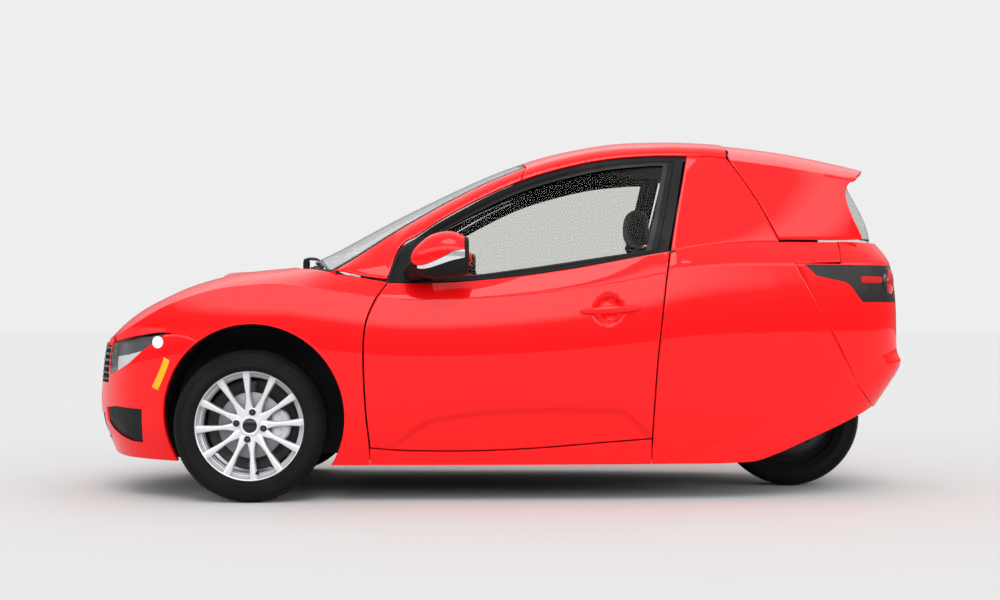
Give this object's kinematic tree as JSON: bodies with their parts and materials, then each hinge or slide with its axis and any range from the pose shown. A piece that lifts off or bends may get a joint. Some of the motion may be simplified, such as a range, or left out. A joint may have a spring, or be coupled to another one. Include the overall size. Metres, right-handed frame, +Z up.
{
  "type": "three wheeled car",
  "caption": "Single-seat electric coupe on two steered front wheels and one driven rear wheel, with side doors, a front hood and a rear hatch.",
  "frame": {"origin": "on the ground, under the middle of the overall length, on the centre line", "axes": "+X forward to the nose, +Y to the car's left, +Z up"},
  "size_m": [3.0888, 1.775, 1.3299],
  "materials": {
    "red_paint": "high gloss",
    "clear_lamp": "clear, over a dark reflector",
    "amber_lens": "amber lens",
    "black_trim": "fine grained",
    "tail_lamp_black": "smoked, glossy",
    "glass": "grey tint",
    "chassis_black": "coarse",
    "cabin_plastic": "soft touch",
    "seat_fabric": "woven",
    "cast_grey": "painted",
    "caliper_silver": "cast",
    "alloy": "silver lacquer",
    "disc_steel": "turned",
    "steel_wheel": "satin",
    "tyre": "rubber"
  },
  "bodies": {
    "root": {"fender_left": "red_paint", "fender_right": "red_paint", "front_bumper": "red_paint", "roof": "red_paint", "a_pillar_left": "red_paint", "a_pillar_right": "red_paint", "rocker_left": "red_paint", "rocker_right": "red_paint", "quarter_left": "red_paint", "quarter_right": "red_paint", "rear_bumper": "red_paint", "headlights": "clear_lamp", "side_markers": "amber_lens", "front_grille": "black_trim", "cowl": "black_trim", "wipers": "black_trim", "tail_lamps": "tail_lamp_black", "windscreen": "glass", "floor_pan": "chassis_black", "firewall": "chassis_black", "rear_bulkhead": "chassis_black", "boot_floor": "chassis_black", "front_boot_tray": "chassis_black", "front_liners": "chassis_black", "rear_liner": "chassis_black", "crash_beam": "chassis_black", "dashboard": "cabin_plastic", "seat": "seat_fabric", "battery_pack": "cast_grey", "drive_motor": "cast_grey", "front_suspension": "cast_grey", "swing_arm": "cast_grey"},
    "hood": {"hood": "red_paint", "hood_inlet": "black_trim"},
    "hatch": {"hatch": "red_paint", "hatch_glass": "glass"},
    "door_left": {"door_left": "red_paint", "window_frame_left": "black_trim", "door_glass_left": "glass", "mirror_left": "black_trim", "door_handle_left": "red_paint"},
    "door_right": {"door_right": "red_paint", "window_frame_right": "black_trim", "door_glass_right": "glass", "mirror_right": "black_trim", "door_handle_right": "red_paint"},
    "steering_wheel": {"steering_wheel": "cabin_plastic"},
    "steered_left": {"knuckle_left": "cast_grey", "caliper_left": "caliper_silver"},
    "steered_right": {"knuckle_right": "cast_grey", "caliper_right": "caliper_silver"},
    "wheel_left": {"rim_left": "alloy", "brake_disc_left": "disc_steel", "tyre_left": "tyre"},
    "wheel_right": {"rim_right": "alloy", "brake_disc_right": "disc_steel", "tyre_right": "tyre"},
    "rear_wheel": {"rear_rim": "steel_wheel", "rear_tyre": "tyre"}
  },
  "joints": [
    {"name": "steer_left", "type": "hinge", "parent": "root", "child": "steered_left", "pos_m": [0.872, 0.575, 0.27], "axis": [0, 0, 1], "range_deg": [-30, 30]},
    {"name": "steer_right", "type": "hinge", "parent": "root", "child": "steered_right", "pos_m": [0.872, -0.575, 0.27], "axis": [0, 0, 1], "range_deg": [-30, 30]},
    {"name": "steering_wheel_turn", "type": "hinge", "parent": "root", "child": "steering_wheel", "pos_m": [0.122, 0, 0.735], "axis": [-0.9063, 0, 0.4226], "range_deg": [-480, 480]},
    {"name": "front_left_spin", "type": "hinge", "parent": "steered_left", "child": "wheel_left", "pos_m": [0.872, 0.61, 0.27], "axis": [0, 1, 0], "continuous": true},
    {"name": "front_right_spin", "type": "hinge", "parent": "steered_right", "child": "wheel_right", "pos_m": [0.872, -0.61, 0.27], "axis": [0, 1, 0], "continuous": true},
    {"name": "rear_spin", "type": "hinge", "parent": "root", "child": "rear_wheel", "pos_m": [-1.145, 0, 0.27], "axis": [0, 1, 0], "continuous": true},
    {"name": "door_left_swing", "type": "hinge", "parent": "root", "child": "door_left", "pos_m": [0.463, 0.733, 0.5], "axis": [0, 0, -1], "range_deg": [0, 65]},
    {"name": "door_right_swing", "type": "hinge", "parent": "root", "child": "door_right", "pos_m": [0.463, -0.733, 0.5], "axis": [0, 0, 1], "range_deg": [0, 65]},
    {"name": "hood_lift", "type": "hinge", "parent": "root", "child": "hood", "pos_m": [0.749, 0, 0.849], "axis": [0, -1, 0], "range_deg": [0, 55]},
    {"name": "hatch_lift", "type": "hinge", "parent": "root", "child": "hatch", "pos_m": [-0.85, 0, 1.326], "axis": [0, 1, 0], "range_deg": [0, 60]}
  ],
  "couplings": [
    {"joint": "steer_right", "follows": "steer_left", "ratio": 1},
    {"joint": "steering_wheel_turn", "follows": "steer_left", "ratio": 16}
  ]
}
